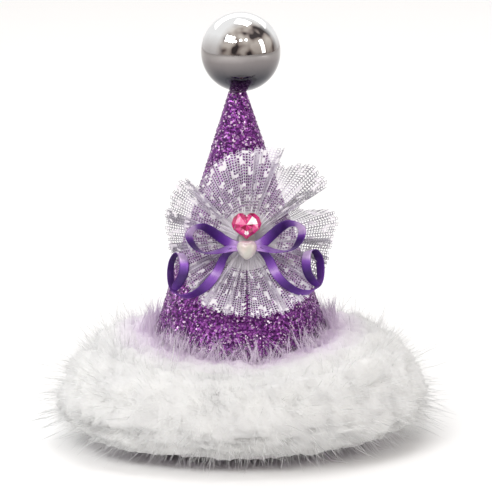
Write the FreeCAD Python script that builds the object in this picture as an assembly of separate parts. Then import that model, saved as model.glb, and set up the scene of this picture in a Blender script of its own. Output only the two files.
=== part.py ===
import FreeCAD, Part
import math
import os

# A cone party hat: a lapped card cone in a glitter sheet, a mirror ball on its open tip, a gathered lace
# rosette with a ribbon bow, a faceted heart and a heart pearl on its front, and a marabou boa round its rim.
# Millimetres, +Z up, origin on the table under the tip. The front of the hat faces -Y.

os.makedirs("parts", exist_ok=True)
Vector = FreeCAD.Vector
UP = Vector(0, 0, 1)

# Cone: outer surface of the glitter cover
rim_radius = 60.0
rim_height = 4.0
cone_height = 173.5
tip_radius = 4.5
card_thickness = 0.6
cover_thickness = 0.8
card_lap_width = 12.0
cover_lap_width = 8.0

# Mirror ball with a hollow neck that drops into the open tip
ball_radius = 20.0
ball_wall = 1.0
ball_lift = 0.3
ball_lean = 5.6
neck_radius = 2.1
neck_bore_radius = 1.2
neck_length = 8.0
tip_glue_depth = 7.0
tip_glue_collar = 1.1
tip_glue_inset = 0.5

# Rosette place on the front of the cone, and its felt backing
rosette_height = 106.0
rosette_side = 3.5
pad_radius = 15.0
pad_thickness = 1.5
pad_glue_radius = 11.0
pad_glue_thickness = 0.3

# Lace strip gathered into a fluted disc
lace_radius = 43.0
lace_scallop = 3.0
lace_flutes = 9
lace_flute_height = 2.0
lace_edge_level = 3.8
gather_radius = 5.5
gather_level = 2.4
lace_thickness = 0.6
thread_radius = 0.4
centre_glue_radius = 4.0

# Ribbon bow, standing on its edge on the lace
ribbon_width = 6.0
ribbon_thickness = 0.3
bow_level = 6.2
knot_width = 11.0
knot_height = 7.0
knot_depth = 2.6
knot_drop = 2.6
knot_round = 1.0

# Faceted heart and heart pearl
gem_width = 15.0
gem_length = 13.6
gem_rise = 6.2
gem_girdle = 1.2
gem_crown = 2.8
gem_cleft = 0.45
foil_thickness = 0.2
foil_inset = 0.3
stone_glue = 0.3
gem_glue_radius = 3.5
gem_glue_rise = 7.8
pearl_width = 11.0
pearl_length = 9.2
pearl_drop = 5.4
pearl_glue_share = 0.6
pearl_depth = 4.8
pearl_cleft = -0.1

# Marabou boa: core cord glued round the cone, and the barbs that stand out from it
cord_radius = 1.5
cord_height = 22.0
cord_lap_clearance = 0.1
cord_channel = 0.8
glue_dot_count = 12
glue_dot_radius = 1.5
fluff_half_width = 41.0
fluff_half_height = 30.0
fluff_centre_height = 27.0
fluff_lap_clearance = 0.2

# Eyelets for an elastic chin cord, one at each side under the fluff
eyelet_height = 12.0
eyelet_bore_radius = 2.0
eyelet_barrel_radius = 2.6
eyelet_flange_radius = 4.2
eyelet_flange = 0.5
eyelet_hole_clearance = 0.1
eyelet_seat_gap = 0.2

# Values that follow from the ones above
slope = (rim_radius - tip_radius) / cone_height
half_angle = math.atan(slope)
lean_of_wall = math.degrees(half_angle)
tip_height = rim_height + cone_height
wall = card_thickness + cover_thickness
pad_top = pad_glue_thickness + pad_thickness
stone_back = bow_level + knot_depth + stone_glue
cord_standoff = cover_thickness + cord_lap_clearance + cord_radius
fluff_gap = cover_thickness + fluff_lap_clearance
past_all = 400.0


def cone_radius(height):
    return rim_radius - (height - rim_height) * slope


boa_radius = cone_radius(cord_height) + cord_standoff / math.cos(half_angle)


def cone_body(offset, low, high):
    """Solid cone whose side stands offset outside the glitter cover, measured square to it."""
    extra = offset / math.cos(half_angle)
    return Part.makeCone(cone_radius(low) + extra, cone_radius(high) + extra, high - low, Vector(0, 0, low))


def cone_layer(inner, outer, low, high):
    return cone_body(outer, low, high).cut(cone_body(inner, low, high))


def back_strip(width):
    """Upright box on the back of the hat that cuts a lap of this width out of a cone layer."""
    return Part.makeBox(width, past_all, past_all, Vector(-width / 2, 0, 0))


def on_rosette(shape):
    """Moves a shape from the rosette's frame (x right, y up the cone, z outwards) to its place on the hat."""
    turn = FreeCAD.Rotation(Vector(1, 0, 0), 90 - lean_of_wall)
    place = Vector(rosette_side, -cone_radius(rosette_height), rosette_height)
    moved = shape.copy()
    moved.Placement = FreeCAD.Placement(place, turn).multiply(moved.Placement)
    return moved


def on_wall(shape, side):
    """Moves a shape from a frame with z square to the cone's wall to the left (-1) or right (+1) side."""
    height = rim_height + eyelet_height
    turn = FreeCAD.Rotation(Vector(0, 1, 0), side * (90 - lean_of_wall))
    moved = shape.copy()
    moved.Placement = FreeCAD.Placement(Vector(side * cone_radius(height), 0, height), turn)
    return moved


def disc(radius, low, high):
    return Part.makeCylinder(radius, high - low, Vector(0, 0, low))


def closed_curve(points):
    curve = Part.BSplineCurve()
    curve.interpolate(Points=points, PeriodicFlag=True)
    return curve.toShape()


def open_curve(points):
    curve = Part.BSplineCurve()
    curve.interpolate(Points=points)
    return curve.toShape()


# ---- Cone ----

def eyelet_hole(side):
    hole = disc(eyelet_barrel_radius + eyelet_hole_clearance, -5 * wall, 5 * wall)
    return on_wall(hole, side)


def eyelet(side):
    inside = -wall - eyelet_seat_gap - eyelet_flange
    body = disc(eyelet_barrel_radius, inside, eyelet_flange)
    for low in (inside, 0):
        body = body.fuse(disc(eyelet_flange_radius, low, low + eyelet_flange))
    bore = disc(eyelet_bore_radius, inside - 1, eyelet_flange + 1)
    return on_wall(body.cut(bore).removeSplitter(), side)


def card_cone():
    body = cone_layer(-wall, -cover_thickness, rim_height, tip_height)
    lap = cone_layer(-wall - card_thickness, -wall, rim_height, tip_height)
    body = body.fuse(lap.common(back_strip(card_lap_width)))
    for side in (-1, 1):
        body = body.cut(eyelet_hole(side))
    return body.removeSplitter()


def glitter_cover():
    body = cone_layer(-cover_thickness, 0, rim_height, tip_height)
    lap = cone_layer(0, cover_thickness, rim_height, tip_height)
    body = body.fuse(lap.common(back_strip(cover_lap_width)))
    for side in (-1, 1):
        body = body.cut(eyelet_hole(side))
    return body.removeSplitter()


# ---- Mirror ball ----

def leaned(shape):
    moved = shape.copy()
    moved.rotate(Vector(0, 0, tip_height), Vector(0, 1, 0), ball_lean)
    return moved


def ball_outside():
    centre = Vector(0, 0, tip_height + ball_lift + ball_radius)
    neck = disc(neck_radius, tip_height - neck_length, tip_height + ball_lift + ball_wall)
    return leaned(Part.makeSphere(ball_radius, centre).fuse(neck))


def mirror_ball():
    centre = Vector(0, 0, tip_height + ball_lift + ball_radius)
    bore = disc(neck_bore_radius, tip_height - neck_length - 1, tip_height + ball_radius)
    hollow = Part.makeSphere(ball_radius - ball_wall, centre).fuse(bore)
    return ball_outside().cut(leaned(hollow)).removeSplitter()


def ball_glue(card):
    """Hot-melt plug round the neck, with a low collar on the open tip."""
    plug = cone_body(-wall, tip_height - tip_glue_depth, tip_height)
    collar = disc(tip_radius - tip_glue_inset, tip_height, tip_height + tip_glue_collar)
    return plug.fuse(collar).cut(card).cut(ball_outside()).removeSplitter()


# ---- Rosette ----

def patch(radius, inner, outer):
    """Part of a layer on the cone's front that a round cut of this radius leaves."""
    layer = cone_layer(inner, outer, rosette_height - 2 * radius, rosette_height + 2 * radius)
    return layer.common(on_rosette(disc(radius, -radius, radius)))


def felt_pad():
    return patch(pad_radius, pad_glue_thickness, pad_top)


def pad_glue():
    return patch(pad_glue_radius, 0, pad_glue_thickness)


def lace_edge(rise):
    """Outer edge of the gathered lace: it scallops in and out and flutes up and down once per fold."""
    points = []
    count = 12 * lace_flutes
    for i in range(count):
        turn = 2 * math.pi * i / count
        wave = math.cos(lace_flutes * turn)
        radius = lace_radius - lace_scallop * (1 - wave) / 2
        level = lace_edge_level + lace_flute_height * wave + rise
        points.append(Vector(radius * math.sin(turn), radius * math.cos(turn), level))
    return closed_curve(points)


def lace_gather(rise):
    points = []
    count = 12 * lace_flutes
    for i in range(count):
        turn = 2 * math.pi * i / count
        points.append(Vector(gather_radius * math.sin(turn), gather_radius * math.cos(turn), gather_level + rise))
    return closed_curve(points)


def lace_ruffle():
    """Closed fluted disc between the gathered inner edge and the free outer edge of the lace strip."""
    low_gather, high_gather = lace_gather(0), lace_gather(lace_thickness)
    low_edge, high_edge = lace_edge(0), lace_edge(lace_thickness)
    faces = [
        Part.makeRuledSurface(low_gather, low_edge),
        Part.makeRuledSurface(high_gather, high_edge),
        Part.makeRuledSurface(low_gather, high_gather),
        Part.makeRuledSurface(low_edge, high_edge),
    ]
    shell = Part.makeShell(faces)
    shell.sewShape()
    solid = Part.makeSolid(shell)
    if solid.Volume < 0:
        solid.reverse()
    return on_rosette(solid)


def gather_thread():
    """Thread that draws the strip's inner edge together, lying round the glue in the middle."""
    ring = Part.makeTorus(gather_radius - thread_radius - 0.2, thread_radius, Vector(0, 0, gather_level))
    return on_rosette(ring)


def centre_glue():
    """Hot-melt post from the felt to the underside of the knot, through the middle of the lace."""
    post = on_rosette(disc(centre_glue_radius, -pad_radius, bow_level))
    return post.cut(cone_body(pad_top, rosette_height - 40, rosette_height + 40))


# ---- Bow ----

def ribbon(route):
    """Ribbon standing on its edge, run along a route in the rosette's plane."""
    spine = open_curve([Vector(x, y, bow_level) for x, y in route])
    first, last = spine.ParameterRange
    count = 6 * len(route)
    left, right = [], []
    for i in range(count + 1):
        at = first + (last - first) * i / count
        point = spine.valueAt(at)
        side = spine.tangentAt(at).cross(UP) * (ribbon_thickness / 2)
        left.append(point + side)
        right.append(point - side)
    edges = [
        open_curve(left),
        Part.LineSegment(left[-1], right[-1]).toShape(),
        open_curve(right[::-1]),
        Part.LineSegment(right[0], left[0]).toShape(),
    ]
    return Part.Face(Part.Wire(edges)).extrude(UP * ribbon_width)


def mirrored(route):
    return [(-x, y) for x, y in route]


LOOP = [(6.1, -1.6), (13, 3.0), (20, 7.6), (24.5, 6.8), (28.5, 4.2), (29.8, 1.4), (27.8, -2), (22.5, -7),
        (15.5, -8.1), (9.5, -6.6), (6.1, -4.2)]
TAIL = [(6.2, -5.7), (9.2, -9.5), (12.6, -15.6), (17, -22.2), (22.8, -27.4), (28.8, -30), (34.2, -29.4),
        (38.2, -24.6), (39.3, -16.6), (37.3, -9.2), (33.7, -6.2), (30, -9), (28.8, -16), (31, -22.2), (34.2, -25.4)]


def bow_knot():
    """Short wrap of ribbon that binds the loops and tails together."""
    block = Part.makeBox(knot_width, knot_height, knot_depth)
    block.translate(Vector(-knot_width / 2, -knot_drop - knot_height / 2, bow_level))
    edges = [e for e in block.Edges if e.BoundBox.XLength > knot_width / 2]
    return on_rosette(block.makeFillet(knot_round, edges))


# ---- Heart stones ----

def heart_points(width, length, cleft, middle, level, count):
    """Heart outline from its cleft round its tip and back. A larger cleft value cuts deeper between the lobes."""
    turns = [2 * math.pi * i / count for i in range(count)]
    across = [math.sin(t) ** 3 for t in turns]
    along = [13 * math.cos(t) - 5 * cleft * math.cos(2 * t) - 2 * math.cos(3 * t) - math.cos(4 * t) for t in turns]
    low, high = min(along), max(along)
    scale = length / (high - low)
    centre = (low + high) / 2
    return [Vector(x * width / 2, middle + (y - centre) * scale, level) for x, y in zip(across, along)]


def heart_loop(width, length, cleft, middle, level):
    """Heart of two smooth sides that meet at the cleft and at the tip."""
    count = 24
    points = heart_points(width, length, cleft, middle, level, count)
    half = count // 2
    right = open_curve(points[:half + 1])
    left = open_curve(points[half:] + [points[0]])
    return Part.Wire([right, left])


def heart_plate(width, length, cleft, middle, low, high):
    return Part.Face(heart_loop(width, length, cleft, middle, low)).extrude(UP * (high - low))


def heart_gem():
    """Straight girdle with two rings of facets above it and a small table on top."""
    base = stone_back + foil_thickness
    girdle = base + gem_girdle
    rings = []
    for size, level in ((1.0, base), (1.0, girdle), (0.74, girdle + 0.65 * gem_crown), (0.4, girdle + gem_crown)):
        ring = heart_points(gem_width * size, gem_length * size, gem_cleft, gem_rise, level, 16)
        rings.append(Part.makePolygon(ring + ring[:1]))
    return on_rosette(Part.makeLoft(rings, True, True))


def gem_foil():
    width = gem_width - 2 * foil_inset
    length = gem_length - 2 * foil_inset
    return on_rosette(heart_plate(width, length, gem_cleft, gem_rise, stone_back, stone_back + foil_thickness))


def gem_glue():
    """Hot-melt post from the lace to the back of the faceted heart, beside the knot."""
    lace_top = lace_edge_level + lace_thickness
    return on_rosette(Part.makeCylinder(gem_glue_radius, stone_back - lace_top, Vector(0, gem_glue_rise, lace_top)))


def heart_pearl():
    """Domed heart, built up as a loft of shrinking hearts."""
    rings = []
    for share in (0, 0.25, 0.5, 0.72, 0.88, 0.97):
        size = math.sqrt(1 - share ** 2)
        level = stone_back + share * pearl_depth
        rings.append(heart_loop(pearl_width * size, pearl_length * size, pearl_cleft, -pearl_drop, level))
    return on_rosette(Part.makeLoft(rings, True))


def pearl_glue():
    low = bow_level + knot_depth
    width = pearl_width * pearl_glue_share
    length = pearl_length * pearl_glue_share
    return on_rosette(heart_plate(width, length, pearl_cleft, -pearl_drop, low, stone_back))


# ---- Marabou boa ----

def boa_ring(radius):
    return Part.makeTorus(boa_radius, radius, Vector(0, 0, cord_height))


def trim_glue():
    """Hot-melt dots that hold the boa's core cord to the glitter cover."""
    step = 360 / glue_dot_count
    dot = disc(glue_dot_radius, -cord_standoff - wall, -cord_radius / 2)
    turn = FreeCAD.Rotation(Vector(0, 1, 0), 90 - lean_of_wall)
    dot.Placement = FreeCAD.Placement(Vector(boa_radius, 0, cord_height), turn)
    dot.rotate(Vector(0, 0, 0), UP, step / 2)
    dot = dot.cut(cone_body(0, rim_height, 2 * cord_height)).cut(boa_ring(cord_radius))
    dots = []
    for i in range(glue_dot_count):
        copy = dot.copy()
        copy.rotate(Vector(0, 0, 0), UP, step * i)
        dots.append(copy)
    return Part.makeCompound(dots)


def marabou_fluff():
    """Outer shape of the barbs: an oval ring round the rim, flat where it rests, hollow along the cord."""
    centre = Vector(rim_radius, 0, fluff_centre_height)
    oval = Part.Ellipse(centre + Vector(fluff_half_width, 0, 0), centre + UP * fluff_half_height, centre)
    face = Part.Face(Part.Wire(oval.toShape()))
    ring = face.revolve(Vector(0, 0, 0), UP, 360)
    top = fluff_centre_height + fluff_half_height
    floor = disc(past_all, -past_all, 0)
    core = cone_body(fluff_gap, -past_all / 10, top + fluff_gap)
    return ring.cut(floor).cut(core).cut(boa_ring(cord_radius + cord_channel)).removeSplitter()


def build():
    card = card_cone()
    nodes = {
        "card_cone": card,
        "glitter_cover": glitter_cover(),
        "mirror_ball": mirror_ball(),
        "ball_glue": ball_glue(card),
        "felt_pad": felt_pad(),
        "pad_glue": pad_glue(),
        "lace_ruffle": lace_ruffle(),
        "gather_thread": gather_thread(),
        "centre_glue": centre_glue(),
        "bow_knot": bow_knot(),
        "bow_loop_right": on_rosette(ribbon(LOOP)),
        "bow_loop_left": on_rosette(ribbon(mirrored(LOOP))),
        "bow_tail_right": on_rosette(ribbon(TAIL)),
        "bow_tail_left": on_rosette(ribbon(mirrored(TAIL))),
        "gem_glue": gem_glue(),
        "gem_foil": gem_foil(),
        "heart_gem": heart_gem(),
        "pearl_glue": pearl_glue(),
        "heart_pearl": heart_pearl(),
        "boa_cord": boa_ring(cord_radius),
        "trim_glue": trim_glue(),
        "marabou_fluff": marabou_fluff(),
        "eyelet_left": eyelet(-1),
        "eyelet_right": eyelet(1),
    }
    return nodes


for name, shape in build().items():
    shape.exportStep(f"parts/{name}.step")
    print(name, len(shape.Solids), "solid", round(shape.Volume, 1), "mm3", "valid" if shape.isValid() else "NOT VALID")
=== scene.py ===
import math
import bmesh
import bpy
import numpy as np
from mathutils import Matrix, Vector, noise


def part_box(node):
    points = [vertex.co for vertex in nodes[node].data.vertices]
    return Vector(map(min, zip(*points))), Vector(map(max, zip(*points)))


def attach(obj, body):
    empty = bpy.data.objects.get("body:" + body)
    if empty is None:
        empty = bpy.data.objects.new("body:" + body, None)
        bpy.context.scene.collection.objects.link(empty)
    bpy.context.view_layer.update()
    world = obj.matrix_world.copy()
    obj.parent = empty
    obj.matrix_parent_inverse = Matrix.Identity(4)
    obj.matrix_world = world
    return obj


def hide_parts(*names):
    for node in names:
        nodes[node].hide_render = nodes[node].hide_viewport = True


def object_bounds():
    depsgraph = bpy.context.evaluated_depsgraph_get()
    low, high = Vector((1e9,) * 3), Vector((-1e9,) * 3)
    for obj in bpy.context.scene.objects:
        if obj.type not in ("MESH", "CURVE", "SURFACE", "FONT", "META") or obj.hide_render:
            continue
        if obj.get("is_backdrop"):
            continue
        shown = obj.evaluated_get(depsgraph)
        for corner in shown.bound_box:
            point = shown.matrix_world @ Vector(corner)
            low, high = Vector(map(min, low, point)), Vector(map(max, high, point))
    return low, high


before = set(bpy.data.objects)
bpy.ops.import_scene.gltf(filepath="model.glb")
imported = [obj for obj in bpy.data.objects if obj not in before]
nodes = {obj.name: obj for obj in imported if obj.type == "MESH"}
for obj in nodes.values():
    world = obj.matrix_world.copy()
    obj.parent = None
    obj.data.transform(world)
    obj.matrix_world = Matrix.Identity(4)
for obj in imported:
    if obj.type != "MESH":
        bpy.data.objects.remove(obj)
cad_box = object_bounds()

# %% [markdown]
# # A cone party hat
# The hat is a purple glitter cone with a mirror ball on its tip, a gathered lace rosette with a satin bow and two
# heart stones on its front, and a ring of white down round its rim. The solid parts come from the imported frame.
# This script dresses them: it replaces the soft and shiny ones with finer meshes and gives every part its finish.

MM = 0.001
rng = np.random.default_rng(7)

cover_low, cover_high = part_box("glitter_cover")
fluff_low, fluff_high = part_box("marabou_fluff")
rim_height = cover_low.z
tip_height = cover_high.z
rim_radius = (cover_high.x - cover_low.x) / 2
tip_radius = 4.5 * MM
slope = (rim_radius - tip_radius) / (tip_height - rim_height)
half_angle = math.atan(slope)
print("cone", round(rim_radius * 1000, 1), "mm at the rim,", round(tip_height * 1000, 1), "mm to the tip")


def cone_radius(height):
    return rim_radius - (height - rim_height) * slope


# %% [markdown]
# ## The rosette's own frame
# Everything on the front of the hat is laid out flat, as on a bench: x to the right, y up the cone and z away from
# it. One matrix then lays that bench against the cone's front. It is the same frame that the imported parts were
# drawn in, so a lace fold or a ribbon end lands where the glue is.

# %% Bench frame
ROSETTE_HEIGHT = 106 * MM
ROSETTE_SIDE = 3.5 * MM
bench = (Matrix.Translation((ROSETTE_SIDE, -cone_radius(ROSETTE_HEIGHT), ROSETTE_HEIGHT))
         @ Matrix.Rotation(math.pi / 2 - half_angle, 4, "X"))
RIBBON_WIDTH = 6.0
STONE_BACK = 9.1


# %% [markdown]
# ## Shader sums as Python sums
# A material is a sum of masks and colours. `Wire` holds one socket of a node tree, so that `1 - mask * 0.4` adds
# the Math nodes itself. Colours are mixed by `blend`, because a Math node would turn them grey. Every other node
# comes from `node`, which sets its choices first and then its sockets.

# %% Wire and Finish
class Wire:
    def __init__(self, finish, socket):
        self.finish = finish
        self.socket = socket

    def sum(self, operation, *others):
        return self.finish.node("ShaderNodeMath", {"operation": operation}, [self, *others])

    def __add__(self, other):
        return self.sum("ADD", other)

    __radd__ = __add__

    def __mul__(self, other):
        return self.sum("MULTIPLY", other)

    __rmul__ = __mul__

    def __sub__(self, other):
        return self.sum("SUBTRACT", other)

    def __rsub__(self, other):
        return self.finish.node("ShaderNodeMath", {"operation": "SUBTRACT"}, [other, self])

    def __truediv__(self, other):
        return self.sum("DIVIDE", other)

    def __pow__(self, other):
        return self.sum("POWER", other)


def set_stops(ramp, stops):
    """Gives a colour ramp its stops, each a place from 0 to 1 and a colour."""
    while len(ramp.elements) < len(stops):
        ramp.elements.new(1.0)
    for element, (place, colour) in zip(ramp.elements, stops):
        element.position = place
        element.color = (*colour, 1.0)


class Finish:
    """A material with one Principled shader, whose constant values are set on its own sockets."""

    def __init__(self, name, **values):
        self.material = bpy.data.materials.new(name)
        self.material.use_nodes = True
        self.tree = self.material.node_tree
        self.shader = self.tree.nodes["Principled BSDF"]
        for key, value in values.items():
            self.shader.inputs[key.replace("_", " ")].default_value = value

    def put(self, socket, value):
        if isinstance(value, Wire):
            self.tree.links.new(value.socket, socket)
        else:
            socket.default_value = value

    def node(self, kind, settings=None, values=(), out=0):
        made = self.tree.nodes.new(kind)
        for key, value in (settings or {}).items():
            if key == "stops":
                set_stops(made.color_ramp, value)
            else:
                setattr(made, key, value)
        pairs = values.items() if isinstance(values, dict) else enumerate(values)
        for key, value in pairs:
            self.put(made.inputs[key], value)
        return Wire(self, made.outputs[out])

    def place(self):
        return self.node("ShaderNodeTexCoord", out="Object")

    def attribute(self, name):
        return self.node("ShaderNodeAttribute", {"attribute_name": name}, out="Fac")

    def stretched(self, vector, scale):
        return self.node("ShaderNodeVectorMath", {"operation": "MULTIPLY"}, [vector, scale])

    def speckle(self, vector, scale, detail=2.0, rough=0.5):
        return self.node("ShaderNodeTexNoise", {}, {"Vector": vector, "Scale": scale, "Detail": detail,
                                                    "Roughness": rough})

    def ramp(self, value, stops):
        return self.node("ShaderNodeValToRGB", {"stops": stops}, [value])

    def blend(self, mask, first, second):
        return self.node("ShaderNodeMix", {"data_type": "RGBA"}, {0: mask, 6: first, 7: second}, out=2)

    def bump(self, height, depth, strength=1.0):
        return self.node("ShaderNodeBump", {}, {"Height": height, "Distance": depth, "Strength": strength})

    def wear(self, **links):
        for key, value in links.items():
            self.put(self.shader.inputs[key.replace("_", " ")], value)
        return self.material


def rgba(r, g, b):
    return (r, g, b, 1.0)


# %% [markdown]
# ## From a bmesh to a piece
# A bmesh is only a workbench. To be seen, its shape has to be written to a mesh and the mesh put in the scene as an
# object. A piece of the hat also rides on a body, here the one body of the hat.

# %% Pieces
def mesh_of(name, bm):
    """Writes a bmesh to a new mesh and frees it."""
    mesh = bpy.data.meshes.new(name)
    bm.to_mesh(mesh)
    bm.free()
    return mesh


def in_scene(name, data):
    """Puts a mesh, a lamp or a camera in the scene as an object."""
    made = bpy.data.objects.new(name, data)
    bpy.context.scene.collection.objects.link(made)
    return made


def new_piece(name, bm, material, smooth=True):
    """Turns a bmesh into a piece that rides on the hat's one body."""
    mesh = mesh_of(name, bm)
    mesh.materials.append(material)
    if smooth:
        mesh.shade_smooth()
    else:
        mesh.shade_flat()
    piece = in_scene(name, mesh)
    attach(piece, "root")
    return piece


def modify(piece, kind, **settings):
    modifier = piece.modifiers.new(kind.title(), kind)
    for key, value in settings.items():
        setattr(modifier, key, value)


# %% [markdown]
# ## Table
# The hat stands on a plain pale table. It is one large flat face, much wider than the hat, so that its edge is
# never seen and no second thing shares the picture.

# %% Table
TABLE_HALF = 3.0
bm = bmesh.new()
bmesh.ops.create_grid(bm, x_segments=1, y_segments=1, size=TABLE_HALF)
table = in_scene("table", mesh_of("table", bm))
table.data.materials.append(Finish("pale table", Base_Color=rgba(0.93, 0.93, 0.93), Roughness=0.8).material)
table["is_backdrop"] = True
print("table", 2 * TABLE_HALF, "m square")


# %% [markdown]
# ## Room
# A mirror ball shows what is round it, so one even colour would leave it blank. The room is white behind the hat
# and to the left, and a dim warm blur of soft shapes in front and to the right.

# %% Room
WHITE_SIDE = (-0.55, 1.0, 0.0)
WHITE = rgba(0.86, 0.86, 0.86)
SHAPE_TONES = [(0.36, (0.06, 0.05, 0.05)), (0.43, (0.30, 0.25, 0.23)), (0.50, (0.46, 0.41, 0.37)),
               (0.62, (0.66, 0.61, 0.56))]


def room():
    """White behind the hat, and a dim warm room of soft shapes in front of it, for the mirror ball to show."""
    world = bpy.data.worlds.new("room")
    world.use_nodes = True
    tree = world.node_tree
    background = tree.nodes["Background"]
    background.inputs["Strength"].default_value = 1.0
    way = tree.nodes.new("ShaderNodeTexCoord").outputs["Generated"]
    behind = tree.nodes.new("ShaderNodeVectorMath")
    behind.operation = "DOT_PRODUCT"
    behind.inputs[1].default_value = WHITE_SIDE
    tree.links.new(way, behind.inputs[0])
    back = tree.nodes.new("ShaderNodeMapRange")
    back.inputs["From Min"].default_value = -0.15
    back.inputs["From Max"].default_value = 0.35
    tree.links.new(behind.outputs["Value"], back.inputs["Value"])
    shapes = tree.nodes.new("ShaderNodeTexNoise")
    shapes.inputs["Scale"].default_value = 1.9
    shapes.inputs["Detail"].default_value = 1.0
    tree.links.new(way, shapes.inputs["Vector"])
    shelves = tree.nodes.new("ShaderNodeValToRGB")
    set_stops(shelves.color_ramp, SHAPE_TONES)
    tree.links.new(shapes.outputs["Fac"], shelves.inputs["Fac"])
    mixed = tree.nodes.new("ShaderNodeMix")
    mixed.data_type = "RGBA"
    mixed.inputs[7].default_value = WHITE
    tree.links.new(back.outputs[0], mixed.inputs[0])
    tree.links.new(shelves.outputs["Color"], mixed.inputs[6])
    tree.links.new(mixed.outputs[2], background.inputs["Color"])
    bpy.context.scene.world = world
    print("room with", len(tree.nodes), "nodes")


room()
bpy.context.scene.view_settings.view_transform = "Standard"


# %% [markdown]
# ## Lamps
# Every lamp is a flat panel, because a panel gives a soft shadow and a clean shape on the mirror ball. The strongest
# stands at the upper left, with weaker ones to the right and above. A wide one behind the hat lights the table there
# until it is white. Three small round ones in front are the ceiling spots that the ball shows.

# %% Lamps
def softbox(name, place, size, power, shape="RECTANGLE", toward=(0, 0, 0.1)):
    data = bpy.data.lights.new(name, "AREA")
    data.shape = shape
    data.size = size[0]
    data.size_y = size[1]
    data.energy = power
    lamp = in_scene(name, data)
    lamp.location = place
    aim = Vector(toward) - Vector(place)
    lamp.rotation_euler = aim.to_track_quat("-Z", "Y").to_euler()


softbox("key light", (-0.75, -0.9, 1.25), (0.7, 0.5), 9.5)
softbox("side light", (1.25, -0.45, 0.55), (0.3, 0.8), 3.0)
softbox("top light", (0.1, 0.25, 1.3), (0.6, 0.4), 3.6)
softbox("table light", (0, 1.55, 1.2), (2.4, 1.5), 11, toward=(0, 1.6, 0))
for number, across in enumerate((-0.42, 0.02, 0.50)):
    softbox(f"ceiling spot {number + 1}", (across, -1.35, 1.25 + 0.1 * number), (0.2, 0.2), 1.6, "DISK")
print("lamps", len(bpy.data.lights))


# %% [markdown]
# ## Camera
# The camera stands far off with a long lens, so the cone's sides stay straight and the ring of down looks flat. It
# looks from ten degrees above the table, and it is rolled by about one degree, so that the hat leans a little.

# %% Camera
VIEW_HEIGHT = math.radians(10)
VIEW_ROLL = math.radians(-0.9)
PICTURE_WIDTH = 249.1 * MM
DISTANCE = 2.4
SENSOR = 36
aim = Vector((3.1 * MM, 0, 98.5 * MM))
camera_data = bpy.data.cameras.new("camera")
camera_data.sensor_width = SENSOR
camera_data.lens = SENSOR * DISTANCE / PICTURE_WIDTH
camera_data.clip_start = 0.1
camera = in_scene("camera", camera_data)
toward = Vector((0, -math.cos(VIEW_HEIGHT), math.sin(VIEW_HEIGHT)))
camera.matrix_world = (Matrix.Translation(aim + toward * DISTANCE)
                       @ Matrix.Rotation(math.pi / 2 - VIEW_HEIGHT, 4, "X")
                       @ Matrix.Rotation(VIEW_ROLL, 4, "Z"))
bpy.context.scene.camera = camera
print("lens", round(camera_data.lens), "mm")


# %% [markdown]
# ## Glitter sheet
# Glitter sheet is small coloured foil flakes in glue. Each flake lies at its own angle, so at any moment some flash
# and some look almost black. The sheet itself gets cells of Voronoi noise, one per flake, each with its own tilt of
# the normal and its own tone from near black to near white: that spread is painted shade and painted glints, standing
# for flakes turned away from or towards the lamps. A layer of real loose flakes on top then breaks the outline.

# %% Glitter finish
def glitter_finish():
    finish = Finish("purple glitter", Specular_IOR_Level=0.6)
    place = finish.place()
    cells = finish.node("ShaderNodeTexVoronoi", {"feature": "F1"}, {"Vector": place, "Scale": 1250.0}, out="Color")
    chance = finish.node("ShaderNodeSeparateColor", {}, [cells])
    other = finish.node("ShaderNodeSeparateColor", {}, [cells], out=1)
    # Painted shade and painted glints: the near-black and near-white ends of this ramp stand for flakes turned away
    # from or towards the lamps; the purples between are the flakes' own colour.
    colour = finish.ramp(chance, [(0.0, (0.022, 0.001, 0.045)), (0.32, (0.09, 0.007, 0.13)),
                                  (0.64, (0.22, 0.025, 0.29)), (0.87, (0.52, 0.15, 0.60)), (0.97, (1.0, 0.82, 1.0))])
    patch = finish.speckle(place, 60.0)
    shaded = finish.blend(finish.ramp(patch, [(0.3, (0, 0, 0)), (0.7, (1, 1, 1))]) * 0.25, colour,
                          rgba(0.16, 0.02, 0.2))
    centred = finish.node("ShaderNodeVectorMath", {"operation": "SUBTRACT"}, [cells, (0.5, 0.5, 0.5)])
    tilt = finish.node("ShaderNodeVectorMath", {"operation": "SCALE"}, {0: centred, "Scale": 1.1})
    normal = finish.node("ShaderNodeNewGeometry", out="Normal")
    leaning = finish.node("ShaderNodeVectorMath", {"operation": "ADD"}, [normal, tilt])
    unit = finish.node("ShaderNodeVectorMath", {"operation": "NORMALIZE"}, [leaning])
    return finish.wear(Base_Color=shaded, Roughness=0.22 + 0.3 * other, Metallic=0.35 + 0.45 * other, Normal=unit)


def dress(name, material):
    """Gives a part that keeps its own shape a new finish."""
    nodes[name].data.materials.clear()
    nodes[name].data.materials.append(material)


glitter = glitter_finish()
dress("glitter_cover", glitter)
print("glitter sheet", round((tip_height - rim_height) / math.cos(half_angle) * 1000), "mm up its slope")


# %% [markdown]
# ## Loose flakes
# The real flakes stand a few tenths of a millimetre off the sheet. One six-sided flake is small enough to repeat
# thousands of times. Each copy is laid on the cone at a random place, turned and tipped at random. Nothing is
# spent on the strip that the down hides.

# %% Flakes
FLAKE_COUNT = 15000
FLAKE_RADIUS = 0.42 * MM
FLAKE_LOW = 38 * MM


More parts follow.
